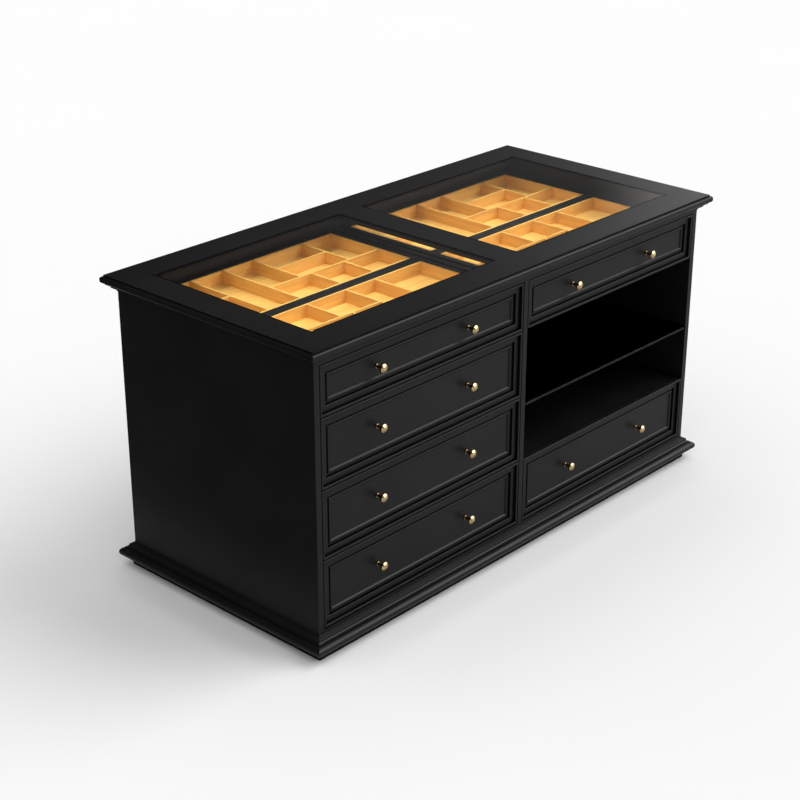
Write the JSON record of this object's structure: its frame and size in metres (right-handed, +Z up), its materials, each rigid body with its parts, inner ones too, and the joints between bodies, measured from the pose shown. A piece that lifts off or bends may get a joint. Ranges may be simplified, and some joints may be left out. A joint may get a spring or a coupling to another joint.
{
  "type": "closet island with drawers",
  "caption": "Free-standing closet island: painted case with drawers, open niche with a glass shelf, and a glazed top over fitted jewellery trays.",
  "frame": {"origin": "on the floor, under the middle of the island", "axes": "+X along the long side, to the right for a person who faces the drawers; -Y is the way the drawers open; +Z up"},
  "size_m": [1.744, 0.83, 0.9],
  "materials": {
    "black_lacquer": "satin black lacquer",
    "tray_wood": "clear satin varnish",
    "runner_wood": "waxed hardwood",
    "aged_brass": "aged, satin",
    "clear_glass": "clear, polished",
    "bronze_glass": "bronze tint, polished",
    "steel": "nickel plated"
  },
  "bodies": {
    "case": {"back_panel": "black_lacquer", "base_moulding": "black_lacquer", "case_bottom_board": "black_lacquer", "case_rail_back": "black_lacquer", "case_rail_front": "black_lacquer", "centre_divider": "black_lacquer", "crown_moulding": "black_lacquer", "drawer_runners": "runner_wood", "glass_pane_left": "clear_glass", "glass_pane_right": "clear_glass", "niche_ceiling": "black_lacquer", "niche_floor": "black_lacquer", "niche_glass_shelf": "bronze_glass", "plinth": "black_lacquer", "shelf_pins": "steel", "side_panel_left": "black_lacquer", "side_panel_right": "black_lacquer", "top_rail_back": "black_lacquer", "top_rail_centre": "black_lacquer", "top_rail_front": "black_lacquer", "top_rail_left": "black_lacquer", "top_rail_right": "black_lacquer"},
    "left_drawer_1": {"left_drawer_1_back": "black_lacquer", "left_drawer_1_bottom": "black_lacquer", "left_drawer_1_front": "black_lacquer", "left_drawer_1_knobs": "aged_brass", "left_drawer_1_sides": "black_lacquer", "left_tray_cross_rail": "black_lacquer", "left_tray_front": "tray_wood", "left_tray_rear": "tray_wood"},
    "left_drawer_2": {"left_drawer_2_back": "black_lacquer", "left_drawer_2_bottom": "black_lacquer", "left_drawer_2_front": "black_lacquer", "left_drawer_2_knobs": "aged_brass", "left_drawer_2_sides": "black_lacquer"},
    "left_drawer_3": {"left_drawer_3_back": "black_lacquer", "left_drawer_3_bottom": "black_lacquer", "left_drawer_3_front": "black_lacquer", "left_drawer_3_knobs": "aged_brass", "left_drawer_3_sides": "black_lacquer"},
    "left_drawer_4": {"left_drawer_4_back": "black_lacquer", "left_drawer_4_bottom": "black_lacquer", "left_drawer_4_front": "black_lacquer", "left_drawer_4_knobs": "aged_brass", "left_drawer_4_sides": "black_lacquer"},
    "right_drawer_1": {"right_drawer_1_back": "black_lacquer", "right_drawer_1_bottom": "black_lacquer", "right_drawer_1_front": "black_lacquer", "right_drawer_1_knobs": "aged_brass", "right_drawer_1_sides": "black_lacquer", "right_tray_cross_rail": "black_lacquer", "right_tray_front": "tray_wood", "right_tray_rear": "tray_wood"},
    "right_drawer_2": {"right_drawer_2_back": "black_lacquer", "right_drawer_2_bottom": "black_lacquer", "right_drawer_2_front": "black_lacquer", "right_drawer_2_knobs": "aged_brass", "right_drawer_2_sides": "black_lacquer"}
  },
  "joints": [
    {"name": "left_drawer_1_slide", "type": "slide", "parent": "case", "child": "left_drawer_1", "axis": [0, -1, 0], "range_m": [0, 0.5]},
    {"name": "left_drawer_2_slide", "type": "slide", "parent": "case", "child": "left_drawer_2", "axis": [0, -1, 0], "range_m": [0, 0.5]},
    {"name": "left_drawer_3_slide", "type": "slide", "parent": "case", "child": "left_drawer_3", "axis": [0, -1, 0], "range_m": [0, 0.5]},
    {"name": "left_drawer_4_slide", "type": "slide", "parent": "case", "child": "left_drawer_4", "axis": [0, -1, 0], "range_m": [0, 0.5]},
    {"name": "right_drawer_1_slide", "type": "slide", "parent": "case", "child": "right_drawer_1", "axis": [0, -1, 0], "range_m": [0, 0.5]},
    {"name": "right_drawer_2_slide", "type": "slide", "parent": "case", "child": "right_drawer_2", "axis": [0, -1, 0], "range_m": [0, 0.5]}
  ]
}
